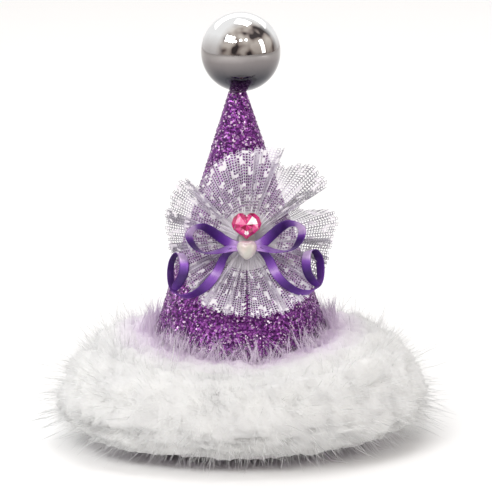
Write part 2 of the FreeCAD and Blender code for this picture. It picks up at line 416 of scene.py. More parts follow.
def copies(template, matrices, bends=None):
    """Many copies of a small mesh as one mesh. A bend pushes a copy's far end sideways."""
    points = np.array([v.co for v in template.vertices])
    faces = [tuple(p.vertices) for p in template.polygons]
    turned = np.einsum("nij,vj->nvi", matrices[:, :3, :3], points) + matrices[:, None, :3, 3]
    if bends is not None:
        turned += bends[:, None, :] * (points[:, 2] ** 2)[None, :, None]
    made = bpy.data.meshes.new("copies")
    count = len(matrices)
    corners = np.concatenate([np.array(f) for f in faces])
    sizes = np.array([len(f) for f in faces])
    made.vertices.add(count * len(points))
    made.vertices.foreach_set("co", turned.ravel())
    made.loops.add(count * len(corners))
    shifted = corners[None, :] + (np.arange(count) * len(points))[:, None]
    made.loops.foreach_set("vertex_index", shifted.ravel())
    made.polygons.add(count * len(faces))
    all_sizes = np.tile(sizes, count)
    made.polygons.foreach_set("loop_start", np.concatenate([[0], np.cumsum(all_sizes)[:-1]]))
    made.update(calc_edges=True)
    return made


def flake_mesh():
    bm = bmesh.new()
    bmesh.ops.create_circle(bm, cap_ends=True, radius=FLAKE_RADIUS, segments=6)
    return mesh_of("flake", bm)


def place_flakes():
    share = rng.random(FLAKE_COUNT)
    reach_low = tip_height + 4 * MM - FLAKE_LOW
    depth = np.sqrt(share) * reach_low
    height = np.clip(tip_height - depth, FLAKE_LOW, tip_height - 0.6 * MM)
    turn = rng.random(FLAKE_COUNT) * 2 * math.pi
    matrices = np.zeros((FLAKE_COUNT, 4, 4))
    for i in range(FLAKE_COUNT):
        out = Matrix.Rotation(turn[i], 4, "Z") @ Matrix.Rotation(math.pi / 2 - half_angle, 4, "Y")
        tip = Matrix.Rotation(rng.normal(0, 0.45), 4, "X") @ Matrix.Rotation(rng.normal(0, 0.45), 4, "Y")
        radius = cone_radius(height[i]) + 0.15 * MM
        spot = Matrix.Translation((radius * math.cos(turn[i]), radius * math.sin(turn[i]), height[i]))
        matrices[i] = np.array(spot @ out @ tip @ Matrix.Scale(rng.uniform(0.6, 1.1), 4))
    return matrices


flakes = in_scene("glitter_flakes", copies(flake_mesh(), place_flakes()))
flakes.data.materials.append(glitter)
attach(flakes, "root")
print("flakes", len(flakes.data.polygons))


# %% [markdown]
# ## Mirror ball
# The ball is a thin plastic shell with a mirror coating. A mirror shows every flat spot, so its profile, a half
# circle that runs into the neck, is spun in many steps, leaned over as the real one sits and shaded smooth. A real
# coating is even. In a dark room the lower half of such a ball looks dark, which a white table can't give, so here
# the coating itself is coloured darker towards the neck: a painted dark reflection, not how a ball is made.

# %% Ball
PAINTED_REFLECTION_LOW = 177.5 * MM
# Painted dark reflection: between these heights the coating goes from dark at the neck to bright mirror at the top.
PAINTED_REFLECTION_HIGH = 217.5 * MM
MIRROR_AND_PAINTED_REFLECTION_TONES = [(0.0, (0.10, 0.095, 0.12)), (0.20, (0.07, 0.07, 0.08)), (0.42, (0.24, 0.22, 0.22)),
              (0.60, (0.58, 0.55, 0.54)), (0.76, (0.95, 0.95, 0.95))]


def mirror_finish():
    finish = Finish("mirror coating", Metallic=1.0)
    place = finish.place()
    mist = finish.speckle(place, 90.0, 4.0)
    ripple = finish.speckle(place, 38.0, 1.0)
    high = finish.node("ShaderNodeSeparateXYZ", {}, [place], out=2)
    # Painted dark reflection, read off the height and roughened a little by noise.
    share = finish.node("ShaderNodeMapRange", {}, {"Value": high + (mist - 0.5) * 0.004, "From Min": PAINTED_REFLECTION_LOW,
                                                   "From Max": PAINTED_REFLECTION_HIGH})
    return finish.wear(Base_Color=finish.ramp(share, MIRROR_AND_PAINTED_REFLECTION_TONES), Roughness=0.01 + 0.05 * mist,
                       Normal=finish.bump(ripple, 0.0004, 0.5))


BALL_RADIUS = 20 * MM
BALL_LIFT = 0.3 * MM
BALL_LEAN = math.radians(5.6)
NECK_RADIUS = 2.1 * MM
NECK_LENGTH = 8 * MM


def ball_bmesh():
    bm = bmesh.new()
    centre = tip_height + BALL_LIFT + BALL_RADIUS
    reach = math.asin(NECK_RADIUS / BALL_RADIUS)
    steps = 72
    profile = [(0.0, centre + BALL_RADIUS)]
    for i in range(1, steps + 1):
        angle = (math.pi - reach) * i / steps
        profile.append((BALL_RADIUS * math.sin(angle), centre + BALL_RADIUS * math.cos(angle)))
    profile.append((NECK_RADIUS, tip_height - NECK_LENGTH))
    line = [bm.verts.new((x, 0, z)) for x, z in profile]
    edges = [bm.edges.new(pair) for pair in zip(line, line[1:])]
    bmesh.ops.spin(bm, geom=line + edges, cent=(0, 0, 0), axis=(0, 0, 1), dvec=(0, 0, 0), angle=2 * math.pi,
                   steps=144, use_merge=True, use_duplicate=False)
    bmesh.ops.remove_doubles(bm, verts=bm.verts, dist=1e-6)
    bmesh.ops.recalc_face_normals(bm, faces=bm.faces)
    lean = (Matrix.Translation((0, 0, tip_height)) @ Matrix.Rotation(BALL_LEAN, 4, "Y")
            @ Matrix.Translation((0, 0, -tip_height)))
    bmesh.ops.transform(bm, matrix=lean, verts=bm.verts)
    return bm


ball = new_piece("mirror_ball_shell", ball_bmesh(), mirror_finish())
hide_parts("mirror_ball")
print("ball faces", len(ball.data.polygons))


# %% [markdown]
# ## Lace rosette
# The rosette is one strip of lace, gathered along one edge and laid round in knife pleats: forward, back a little
# underneath, forward again. A cloth simulation can't hold holes this fine, so the strip is first made flat, as net,
# and each of its points is then laid where the pleats take it. The pleats are kept as turning points: how far round
# the clock the cloth has got in degrees, how high it stands there and how far out it reaches, both in millimetres.
# Near the middle the spare cloth goes into small ripples.

# %% Pleat path
LACE_WIDE = 44.0
GATHER_RADIUS = 4.4
PLEATS = [(181.4, 3.0, 39), (200, 5.0, 40), (193, 2.0, 39), (217, 5.5, 41), (208, 2.0, 38), (229, 5.0, 40),
          (221, 2.0, 38), (247, 5.5, 39), (238, 2.0, 38), (268, 5.0, 39.5), (260, 1.5, 38), (292, 5.5, 43.5),
          (283, 2.0, 41), (308, 6.0, 45), (317, 7.5, 43.5), (305, 1.5, 34), (329, 1.2, 39.5), (340, 1.5, 43),
          (356, 2.5, 46), (372, 3.0, 47.5), (365, 1.0, 46), (384, 5.0, 50.5), (378, 2.0, 43), (390, 3.0, 42),
          (400, 4.0, 50), (412, 6.0, 50), (419, 8.5, 48.5), (408, 1.5, 34), (422, 2.0, 31), (433, 4.0, 46.5),
          (437, 5.0, 47.5), (447, 7.0, 45), (456, 9.0, 43.5), (450, 2.0, 43), (470, 5.0, 42), (462, 1.5, 42),
          (486, 5.0, 42), (478, 1.5, 41), (502, 5.5, 43.5), (495, 2.0, 41), (517, 5.0, 43), (510, 2.0, 41),
          (530, 4.5, 41), (540, 3.5, 38.5)]


def pleat_path():
    """Run of the strip's edge in mm, with the clock angle in radians, the height and the reach at each place."""
    turns = np.radians([p[0] for p in PLEATS])
    lifts = np.array([p[1] for p in PLEATS])
    reaches = np.array([p[2] for p in PLEATS], float)
    steps = np.hypot(np.diff(turns) * reaches.mean(), np.diff(lifts))
    run = np.concatenate([[0], np.cumsum(steps)])
    fine = np.arange(0, run[-1], 0.25)
    window = np.hanning(13) / np.hanning(13).sum()
    rows = []
    for values, odd in ((turns, "odd"), (lifts, "even"), (reaches, "even")):
        padded = np.pad(np.interp(fine, run, values), 6, mode="reflect", reflect_type=odd)
        rows.append(np.convolve(padded, window, "valid"))
    return fine, *rows


path_run, path_turn, path_lift, path_reach = pleat_path()
LACE_LONG = path_run[-1]
print("lace strip", round(LACE_LONG), "by", LACE_WIDE, "mm")

# %% [markdown]
# ## Flat net
# Net is a grid with its cells opened: each face is inset by half a thread and its middle is deleted. Where the
# pattern is solid, the middles stay. The pattern is small leaves in staggered rows and a scalloped border, and the
# cells of the last row stay only in every other place, as the tiny loops of the edge.

# %% Net
MESH_PITCH = 1.5
THREAD = 0.46
SCALLOP = 7.8


def border(x):
    return 1.5 * (1 - abs(math.sin(math.pi * x / SCALLOP)))


def solid_here(x, y):
    """Where the pattern is solid: small leaves at odd angles, and short dashes along the border."""
    if LACE_WIDE - border(x) - 3.4 < y < LACE_WIDE - border(x) - 2.0:
        return (x % 3.9) < 1.9
    if y < 8.5 + 3.5 * math.sin(x * 1.9):
        return True
    row = int(y // 6.8)
    place = x + (row % 2) * 5.2
    number = int(place // 10.4)
    shift = noise.noise(Vector((number * 3.7, row * 5.1, 0)))
    column = place % 10.4 - 5.2 + 1.6 * shift
    rise = y - row * 6.8 - 3.4 - 1.2 * shift
    tilt = 0.5 + 2.2 * shift + row
    along = column * math.cos(tilt) + rise * math.sin(tilt)
    across = rise * math.cos(tilt) - column * math.sin(tilt)
    return (along / 2.4) ** 2 + (across / 0.95) ** 2 < 1 or math.hypot(along - 1.2, across - 1.5) < 0.8


def net_bmesh():
    columns = round(LACE_LONG / MESH_PITCH)
    rows = round(LACE_WIDE / MESH_PITCH)
    bm = bmesh.new()
    net = bm.faces.layers.float.new("net")
    bmesh.ops.create_grid(bm, x_segments=columns, y_segments=rows, size=0.5)
    for v in bm.verts:
        x = (v.co.x + 0.5) * LACE_LONG
        y = (v.co.y + 0.5) * LACE_WIDE
        column = round(x / LACE_LONG * columns)
        stagger = (0.5 if column % 2 else 0.0) * MESH_PITCH * min(1.0, (LACE_WIDE - y) / 4)
        y = min(y + stagger, LACE_WIDE)
        y -= border(x) * max(0.0, (y - 30) / 14)
        v.co = Vector((x, y, 0))
    last = [f for f in bm.faces if any(len(v.link_faces) <= 2 and v.co.y > 30 for v in f.verts)]
    gaps = [f for i, f in enumerate(sorted(last, key=lambda f: f.calc_center_median().x)) if i % 2]
    bmesh.ops.delete(bm, geom=gaps, context="FACES")
    open_cells = []
    for face in bm.faces:
        middle = face.calc_center_median()
        if not solid_here(middle.x, middle.y):
            open_cells.append(face)
    for face in open_cells:
        middle = face.calc_center_median()
        turn = np.interp(middle.x, path_run, path_turn)
        across = abs(middle.y * math.sin(turn) * MM + ROSETTE_SIDE)
        behind = cone_radius(ROSETTE_HEIGHT + middle.y * math.cos(turn) * math.cos(half_angle) * MM)
        clear = (across - behind) / (7 * MM)
        face[net] = min(max((middle.y - 9) / 12, 0.0), 1.0) + 0.85 * min(max(clear, 0.0), 1.0)
    bmesh.ops.inset_individual(bm, faces=open_cells, thickness=THREAD / 2, use_even_offset=True)
    bmesh.ops.delete(bm, geom=open_cells, context="FACES")
    return bm


# %% [markdown]
# ## Laying the strip
# A point of the flat net is known by how far along the strip it is and how far out. The first gives its turn, height
# and reach from the pleat path, and the second gives its share of that reach. Ripples take up the spare cloth near
# the gathered edge, and a little noise lets the free edge flutter.

# %% Laying
def lay(x, y):
    """Place on the bench of the flat strip's point (x, y)."""
    turn = np.interp(x, path_run, path_turn)
    lift = np.interp(x, path_run, path_lift)
    reach = np.interp(x, path_run, path_reach)
    out = y / LACE_WIDE
    radius = GATHER_RADIUS + (reach - GATHER_RADIUS) * out ** 0.97
    ripple = 1.9 * math.sin(2 * math.pi * x / 5.0 + 1.3 * math.sin(x / 17))
    ripple *= (1 - out ** 4) * min(1, 0.3 + (out * 2) ** 2)
    flutter = 0.9 * noise.noise(Vector((x / 6, y / 14, 0))) * out ** 2
    level = 3.3 + lift * out ** 1.3 * 0.85 + ripple * 0.9 + flutter
    return Vector((radius * math.sin(turn), radius * math.cos(turn), level)) * MM


print("middle of the free edge", [round(v * 1000, 1) for v in lay(LACE_LONG / 2, LACE_WIDE)], "mm on the bench")


# %% [markdown]
# ## Lace thread
# The thread is white, and open net looks less white than a solid leaf, so a number kept on each face mixes the two.
# Past 1 the same number says how far a petal stands clear of the cone, and grey is mixed in there. That grey is a
# choice of look, to let the free edge be read on a white ground, and not a second thread. The strip is measured
# while it is flat, then laid on the bench.

# %% Lace
def lace_finish():
    finish = Finish("white lace thread", Specular_IOR_Level=0.35)
    finish.shader.inputs["Sheen Weight"].default_value = 0.3
    place = finish.place()
    cloud = finish.speckle(place, 120.0)
    twist = finish.speckle(place, 2600.0, 3.0)
    white = finish.ramp(cloud, [(0.3, (0.85, 0.81, 0.88)), (0.7, (0.94, 0.92, 0.96))])
    fine = finish.ramp(cloud, [(0.3, (0.58, 0.52, 0.64)), (0.7, (0.77, 0.71, 0.83))])
    net = finish.attribute("net")
    colour = finish.blend(net * 0.9, white, fine)
    colour = finish.blend(net - 1.0, colour, rgba(0.24, 0.23, 0.27))
    return finish.wear(Base_Color=colour, Roughness=0.55 + 0.3 * twist, Normal=finish.bump(twist, 0.00004, 0.5))


def lace_piece():
    bm = net_bmesh()
    flat_area = sum(f.calc_area() for f in bm.faces)
    layer = bm.loops.layers.uv.new("OFBake")
    for face in bm.faces:
        for loop in face.loops:
            loop[layer].uv = (loop.vert.co.x / LACE_LONG, loop.vert.co.y / LACE_WIDE)
    for v in bm.verts:
        v.co = lay(v.co.x, v.co.y)
    bmesh.ops.transform(bm, matrix=bench, verts=bm.verts)
    piece = new_piece("lace_rosette", bm, lace_finish())
    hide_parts("lace_ruffle")
    share = flat_area / (LACE_LONG * LACE_WIDE)
    gathered = sum(p.area for p in piece.data.polygons) * 1e6
    print("lace faces", len(piece.data.polygons), "thread share", round(share, 2))
    print("laid area over flat area", round(gathered / flat_area, 3))
    LACE_LONG * MM
    flat_area * 1e-6


lace_piece()


# %% [markdown]
# ## Satin ribbon
# The bow is 6 mm satin ribbon. Bent ribbon turns and tips as it goes, so each stretch is drawn by stations across
# it: the place of its two edges on the bench and the height of its middle. The ribbon keeps its width, so the
# part of it that is not seen from the front is how much one edge stands nearer than the other. An edge is
# extruded from station to station, a subdivision surface rounds the bends and a solidify gives the thickness.
# Satin is woven with long floats, so where it bends towards the light it looks pale lilac and where it turns away
# deep violet. That light and shade is painted into its colour: each station keeps a number for it.

# %% Satin finish
def satin_finish():
    finish = Finish("purple satin", Specular_IOR_Level=0.7, Metallic=0.45)
    finish.shader.inputs["Sheen Weight"].default_value = 0.25
    finish.shader.inputs["Sheen Roughness"].default_value = 0.35
    finish.shader.inputs["Sheen Tint"].default_value = rgba(0.75, 0.5, 1.0)
    along = finish.node("ShaderNodeUVMap", {"uv_map": "ribbon"})
    across = finish.node("ShaderNodeSeparateXYZ", {}, [along], out=1)
    streak = finish.speckle(finish.stretched(along, (40.0, 1200.0, 1.0)), 1.0, 3.0)
    cloud = finish.speckle(finish.place(), 160.0)
    # Painted light and shade: the station's number takes the satin from deep violet to pale lilac, with random
    # streaks on top.
    painted_light = finish.attribute("lit") * 0.95 + (streak - 0.5) * 0.5 + (cloud - 0.5) * 0.3
    colour = finish.ramp(painted_light, [(0.0, (0.032, 0.004, 0.10)), (0.3, (0.10, 0.02, 0.26)), (0.6, (0.27, 0.09, 0.52)),
                                (0.9, (0.82, 0.62, 0.94))])
    edge = finish.node("ShaderNodeMath", {"operation": "PINGPONG"}, [across, 0.5])
    selvedge = finish.node("ShaderNodeMath", {"operation": "LESS_THAN"}, [edge, 0.055])
    colour = finish.blend(selvedge * 0.55, colour, rgba(0.075, 0.012, 0.19))
    rib = finish.node("ShaderNodeTexWave", {"bands_direction": "X"}, {"Vector": along, "Scale": 900.0})
    height = streak * 0.6 + selvedge * 0.9 + rib * selvedge * 0.8
    return finish.wear(Base_Color=colour, Roughness=0.24 + 0.14 * streak, Normal=finish.bump(height, 0.00006, 0.6))


satin = satin_finish()


def ribbon(name, stations, painted_lights, node):
    """stations: (far edge x, y, near edge x, y, height of the middle), in millimetres on the bench."""
    bm = bmesh.new()
    layer = bm.loops.layers.uv.new("ribbon")
    lit = bm.verts.layers.float.new("lit")
    edge = None
    run = 0.0
    runs = {}
    last = None
    for (ax, ay, bx, by, level), painted_light in zip(stations, painted_lights, strict=True):
        seen = min(math.hypot(bx - ax, by - ay), RIBBON_WIDTH - 0.05)
        rise = math.sqrt(RIBBON_WIDTH ** 2 - seen ** 2) / 2
        far = Vector((ax, ay, level - rise)) * MM
        near = Vector((bx, by, level + rise)) * MM
        if edge is None:
            edge = bm.edges.new((bm.verts.new(far), bm.verts.new(near)))
        else:
            made = bmesh.ops.extrude_edge_only(bm, edges=[edge])["geom"]
            edge = next(g for g in made if isinstance(g, bmesh.types.BMEdge))
            edge.verts[0].co, edge.verts[1].co = far, near
            run += ((far + near) / 2 - last).length
        last = (far + near) / 2
        runs[edge.verts[0]] = (run, 0.0)
        runs[edge.verts[1]] = (run, 1.0)
        edge.verts[0][lit] = edge.verts[1][lit] = painted_light
    for face in bm.faces:
        for loop in face.loops:
            loop[layer].uv = runs[loop.vert]
    bmesh.ops.recalc_face_normals(bm, faces=bm.faces)
    bmesh.ops.transform(bm, matrix=bench, verts=bm.verts)
    piece = new_piece(name, bm, satin)
    modify(piece, "SUBSURF", levels=3, render_levels=3)
    modify(piece, "SOLIDIFY", thickness=0.25 * MM, offset=0.0)
    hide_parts(node)
    print(name, "ribbon run", round(run * 1000), "mm")


# %% [markdown]
# ## Bow loops and tails
# A loop leaves the knot, rounds its end and comes back under the pearl. A tail runs down and out and curls back up
# and over itself. A bow tied by hand is never the same on both sides, so each ribbon has its own stations. The tones
# are shared: pale where the ribbon bends towards the light and dark where it turns away.

# %% Bow loops and tails
LEFT_LOOP = [(-2.5, -7.4, -1.5, -1.8, 7.7), (-7.9, -5.4, -5.6, -1.4, 8.3), (-11.9, -3.1, -10.1, 1.2, 8.9),
             (-17.5, 1.2, -15.7, 5.4, 9.0), (-21.4, 4.3, -19.6, 7.4, 9.0), (-23.8, 5.7, -22.9, 7.6, 9.2),
             (-25.8, 4.6, -27.2, 5.9, 9.5), (-26.8, 2.8, -30.1, 3.7, 9.8), (-27.1, 1.2, -30.8, 1.0, 10.2),
             (-25.9, -2.0, -29.3, -2.6, 10.6), (-23.9, -4.8, -26.5, -6.0, 11.0), (-21.7, -7.0, -22.2, -8.0, 11.3),
             (-17.3, -6.3, -17.0, -8.3, 11.0), (-12.2, -4.3, -11.7, -7.9, 10.2), (-7.3, -2.3, -6.3, -6.6, 9.0),
             (-3.0, -1.6, -2.5, -7.0, 8.2)]
RIGHT_LOOP = [(2.5, -7.4, 1.5, -1.8, 7.7), (7.9, -5.4, 5.7, -1.4, 8.3), (11.6, -2.8, 8.9, 1.4, 8.9),
              (15.9, 1.4, 13.3, 5.2, 9.0), (19.9, 4.9, 17.7, 8.3, 9.0), (23.0, 6.6, 22.0, 8.6, 9.2),
              (25.8, 5.1, 26.7, 6.9, 9.5), (26.0, 3.4, 29.5, 4.9, 9.8), (25.8, 2.0, 29.8, 2.0, 10.2),
              (24.6, -1.5, 28.6, -2.0, 10.6), (22.9, -4.6, 25.7, -5.6, 11.0), (21.2, -6.5, 21.7, -7.6, 11.3),
              (16.3, -6.3, 15.7, -8.3, 11.0), (11.8, -4.6, 10.7, -8.0, 10.2), (6.8, -2.3, 5.6, -6.6, 9.0),
              (3.0, -1.6, 2.5, -7.0, 8.2)]
LEFT_TAIL = [(-4.0, -4.6, -7.0, -4.0, 7.6), (-9.6, -8.3, -13.4, -8.3, 8.6), (-10.9, -13.1, -15.1, -12.6, 8.8),
             (-13.4, -18.8, -17.7, -17.1, 9.0), (-17.3, -24.0, -21.8, -21.7, 9.0), (-21.9, -27.4, -25.8, -25.7, 9.0),
             (-28.1, -29.8, -30.6, -28.4, 9.0), (-34.0, -29.4, -36.4, -28.0, 8.8), (-36.0, -23.6, -39.2, -25.0, 8.6),
             (-36.7, -18.8, -40.0, -19.2, 8.4), (-36.6, -13.7, -39.7, -13.9, 8.4), (-36.0, -10.6, -38.6, -9.8, 8.8),
             (-34.8, -8.0, -36.0, -6.6, 9.6), (-31.4, -6.2, -34.4, -7.6, 10.6), (-29.0, -10.4, -33.7, -10.3, 11.4),
             (-28.7, -14.3, -33.5, -14.3, 11.6), (-29.5, -18.8, -34.3, -18.3, 11.8),
             (-31.9, -23.0, -35.9, -21.3, 11.8), (-35.4, -27.0, -38.4, -24.5, 11.6)]
RIGHT_TAIL = [(3.6, -4.6, 6.4, -4.0, 7.6), (7.5, -8.3, 11.8, -8.3, 8.6), (9.5, -12.6, 14.0, -12.0, 8.8),
              (11.4, -17.7, 15.7, -16.6, 9.0), (14.4, -21.7, 18.9, -21.1, 9.0), (18.3, -25.7, 22.8, -24.3, 9.0),
              (24.6, -29.0, 27.4, -27.1, 9.0), (32.0, -29.0, 33.6, -26.8, 8.8), (33.9, -22.9, 37.2, -24.6, 8.6),
              (34.8, -19.0, 38.5, -19.4, 8.4), (34.6, -14.3, 38.6, -14.0, 8.4), (34.0, -10.3, 37.8, -9.4, 8.8),
              (32.6, -6.8, 34.8, -5.6, 9.6), (28.6, -6.4, 31.6, -7.6, 10.6), (27.1, -9.7, 31.8, -10.6, 11.4),
              (27.0, -13.7, 31.5, -14.3, 11.6), (27.7, -18.3, 32.0, -18.8, 11.8),
              (29.9, -22.3, 34.1, -21.7, 11.8), (33.6, -25.6, 37.0, -24.3, 11.6)]
# Painted light and shade per station: pale where the ribbon bends towards the light, dark where it turns away.
LOOP_PAINTED_LIGHT = [0.85, 0.8, 0.4, 0.1, 0.08, 0.45, 1.0, 1.0, 0.75, 0.1, 0.0, 0.35, 0.65, 0.7, 0.8, 0.8]
TAIL_PAINTED_LIGHT = [0.1, 0.15, 0.42, 0.78, 0.4, 0.12, 0.4, 0.55, 0.5, 0.4, 0.3, 0.1, 0.2, 1.0, 0.95, 0.4, 0.05, 0.1, 0.4]
ribbon("bow_left_loop", LEFT_LOOP, LOOP_PAINTED_LIGHT, "bow_loop_left")
ribbon("bow_right_loop", RIGHT_LOOP, LOOP_PAINTED_LIGHT, "bow_loop_right")
ribbon("bow_left_tail", LEFT_TAIL, TAIL_PAINTED_LIGHT, "bow_tail_left")
ribbon("bow_right_tail", RIGHT_TAIL, TAIL_PAINTED_LIGHT, "bow_tail_right")


# %% [markdown]
# ## Knot
# A short wrap of the same ribbon binds the bow. It is nearly hidden by the pearl, so a pinched box with soft
# edges does: a cube is cut in four each way, its waist is drawn in and a subdivision surface rounds it.

# %% Knot
KNOT_LONG, KNOT_WIDE, KNOT_THICK = 9.0, 6.6, 2.8
KNOT_DROP = 4.4
KNOT_LEVEL = 7.5
bm = bmesh.new()
bmesh.ops.create_cube(bm, size=1.0)
bmesh.ops.subdivide_edges(bm, edges=bm.edges, cuts=3, use_grid_fill=True)
for v in bm.verts:
    waist = 0.78 + 0.22 * (abs(v.co.x) * 2) ** 2
    v.co = Vector((v.co.x * KNOT_LONG, v.co.y * KNOT_WIDE * waist - KNOT_DROP,
                   KNOT_LEVEL + v.co.z * KNOT_THICK * waist)) * MM
bmesh.ops.transform(bm, matrix=bench, verts=bm.verts)
knot = new_piece("bow_wrap", bm, satin)
modify(knot, "SUBSURF", levels=2, render_levels=2)
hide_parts("bow_knot")
print("knot", KNOT_LONG, "mm long")


# %% [markdown]
# ## Heart outline
# Both stones are hearts. One formula gives the outline, with a value for how deep the cleft is cut, and a stone is
# its outline extruded from one ring to the next smaller one. A number kept on each vertex tells the new ring which
# point of the outline it stands for.

# %% Heart
def heart(width, length, cleft, middle, level, count):
    turns = [2 * math.pi * i / count for i in range(count)]
    across = [math.sin(t) ** 3 for t in turns]
    along = [13 * math.cos(t) - 5 * cleft * math.cos(2 * t) - 2 * math.cos(3 * t) - math.cos(4 * t) for t in turns]
    low, high = min(along), max(along)
    scale = length / (high - low)
    centre = (low + high) / 2
    return [Vector((x * width / 2, middle + (y - centre) * scale, level)) for x, y in zip(across, along)]


def stacked(rings):
    bm = bmesh.new()
    turn = bm.verts.layers.int.new("turn")
    verts = [bm.verts.new(p * MM) for p in rings[0]]
    for i, v in enumerate(verts):
        v[turn] = i
    edges = [bm.edges.new(pair) for pair in zip(verts, verts[1:] + verts[:1])]
    bmesh.ops.contextual_create(bm, geom=edges)
    for ring in rings[1:]:
        made = bmesh.ops.extrude_edge_only(bm, edges=edges)["geom"]
        edges = [g for g in made if isinstance(g, bmesh.types.BMEdge)]
        for v in {v for e in edges for v in e.verts}:
            v.co = ring[v[turn]] * MM
    bmesh.ops.contextual_create(bm, geom=edges)
    bmesh.ops.recalc_face_normals(bm, faces=bm.faces)
    return bm


# %% [markdown]
# ## Pink heart stone
# The upper stone is moulded acrylic with a foil back. What makes it sparkle is that each facet shows a different
# part of the foil, from nearly white to dark crimson. So the facets are few, large and flat shaded, and each one
# carries a number of its own that the finish turns into a depth of pink. That number is painted reflection, and the
# near-white facets are painted highlights.

# %% Pink stone
GEM_WIDTH, GEM_LENGTH, GEM_RISE, GEM_CLEFT = 15.0, 13.6, 6.2, 0.45
GEM_BASE = STONE_BACK + 0.2
GIRDLE = GEM_BASE + 1.2
GEM_CROWN = 2.8


def gem_finish():
    finish = Finish("pink stone", Specular_IOR_Level=0.7, Coat_Weight=1.0, Coat_Roughness=0.02)
    painted_light = finish.attribute("facet")
    cloud = finish.speckle(finish.place(), 350.0, 3.0)
    # Painted reflection: each facet's number runs from dark crimson to near white, as the facets would catch the
    # light.
    colour = finish.ramp(painted_light + (cloud - 0.5) * 0.22, [
        (0.0, (0.24, 0.002, 0.04)), (0.25, (0.50, 0.006, 0.11)), (0.5, (0.82, 0.03, 0.25)),
        (0.72, (0.95, 0.22, 0.45)), (0.9, (1.0, 0.78, 0.87)), (1.0, (1.0, 0.97, 0.98))])
    return finish.wear(Base_Color=colour, Roughness=0.06 + 0.1 * cloud, Metallic=0.25 * (1 - painted_light))


def facet_place(face):
    """Sorts facets by where they are, because the operators leave them in another order on each run."""
    return [round(v / MM, 2) for v in face.calc_center_median()]


def gem_bmesh():
    """Rings of 20 points; the middle ring goes in and out, which draws the facets as kites."""
    rings = []
    sizes = ((1.0, GEM_BASE), (1.0, GIRDLE - 0.3), (0.80, GIRDLE + 0.5 * GEM_CROWN), (0.46, GIRDLE + GEM_CROWN))
    for size, level in sizes:
        rings.append(heart(GEM_WIDTH * size, GEM_LENGTH * size, GEM_CLEFT, GEM_RISE, level, 20))
    swing = [1.09 if i % 4 == 2 else 0.93 for i in range(20)]
    rings[2] = [Vector((p.x * k, GEM_RISE + (p.y - GEM_RISE) * k, p.z)) for p, k in zip(rings[2], swing)]
    bm = stacked(rings)
    bmesh.ops.triangulate(bm, faces=[f for f in bm.faces if len(f.verts) == 4], quad_method="SHORT_EDGE")
    tables = [f for f in bm.faces if len(f.verts) > 4 and f.calc_center_median().z > GIRDLE * MM]
    bmesh.ops.poke(bm, faces=tables)
    facet = bm.faces.layers.float.new("facet")
    for face in sorted(bm.faces, key=facet_place):
        middle = face.calc_center_median() / MM
        x, y, z = middle.x, middle.y - GEM_RISE, middle.z
        # Painted reflection and painted highlights: each facet gets how bright the foil looks in it, and the spots
        # set near 1 are painted highlights.
        painted_light = rng.choice([0.10, 0.33, 0.48, 0.56, 0.27])
        if z > GIRDLE and math.hypot(x - 2.9, y - 2.6) < 1.9:
            painted_light = 1.0
        if z > GIRDLE and math.hypot(x + 3.2, y - 2.4) < 2.0:
            painted_light = 0.72
        if z > GIRDLE and math.hypot(x, y + 3.4) < 1.0:
            painted_light = 0.97
        if z < GIRDLE + 0.15:
            painted_light = 0.16
        face[facet] = min(max(painted_light + rng.normal(0, 0.04), 0.0), 1.0)
    bmesh.ops.translate(bm, vec=(0, -0.5 * MM, 0), verts=bm.verts)
    bmesh.ops.transform(bm, matrix=bench, verts=bm.verts)
    return bm


gem = new_piece("pink_heart_stone", gem_bmesh(), gem_finish(), smooth=False)
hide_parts("heart_gem")
print("facets", len(gem.data.polygons))


# %% [markdown]
# ## Pearl heart
# The lower stone is a plastic pearl: a plump cushion of a heart with hardly any cleft. Its rings shrink as a
# quarter circle does, and a subdivision surface rounds them. Pearl lacquer is a soft base under a clear coat, a
# little pink in one place and green in another.

# %% Pearl
PEARL_WIDTH, PEARL_LENGTH, PEARL_DROP, PEARL_DEPTH = 11.0, 9.2, 5.4, 4.8


def pearl_finish():
    finish = Finish("pearl lacquer", Specular_IOR_Level=0.6, Coat_Weight=0.8, Coat_Roughness=0.08)
    finish.shader.inputs["Sheen Weight"].default_value = 0.3
    finish.shader.inputs["Sheen Tint"].default_value = rgba(1.0, 0.85, 0.95)
    place = finish.place()
    cloud = finish.speckle(place, 110.0)
    grain = finish.speckle(place, 700.0, 4.0)
    colour = finish.ramp(cloud, [(0.35, (0.62, 0.47, 0.52)), (0.5, (0.70, 0.61, 0.56)),
                                 (0.68, (0.60, 0.585, 0.53))])
    return finish.wear(Base_Color=colour, Roughness=0.22 + 0.12 * grain, Normal=finish.bump(grain, 0.00002, 0.5))


def turn_away(turn):
    """Angle from the top of the heart, whichever way round is shorter."""
    return min(turn, 2 * math.pi - turn)


def plump_heart(size, level, count=40):
    """A heart as full as a cushion: hardly a cleft at the top and one soft point at the bottom."""
    points = []
    for i in range(count):
        turn = 2 * math.pi * i / count
        low = (1 - math.cos(turn)) / 2
        x = math.sin(turn) * (1 - 0.36 * low ** 1.8)
        y = math.cos(turn) - 0.22 * math.exp(-(turn_away(turn) / 0.42) ** 2) - 0.08 * low ** 6
        points.append(Vector((x * size * PEARL_WIDTH / 2, y * size * PEARL_LENGTH / 1.86 - PEARL_DROP, level)))
    return points


def pearl_bmesh():
    rings = []
    for turn in (-18, 0, 18, 36, 54, 70, 82):
        size = math.cos(math.radians(turn)) * 1.03
        level = STONE_BACK + 0.55 + math.sin(math.radians(turn)) * (PEARL_DEPTH - 0.55)
        rings.append(plump_heart(size, level))
    for p in rings[0]:
        p.z = STONE_BACK
    bm = stacked(rings)
    bmesh.ops.poke(bm, faces=[f for f in bm.faces if len(f.verts) > 4])
    bmesh.ops.transform(bm, matrix=bench, verts=bm.verts)
    return bm


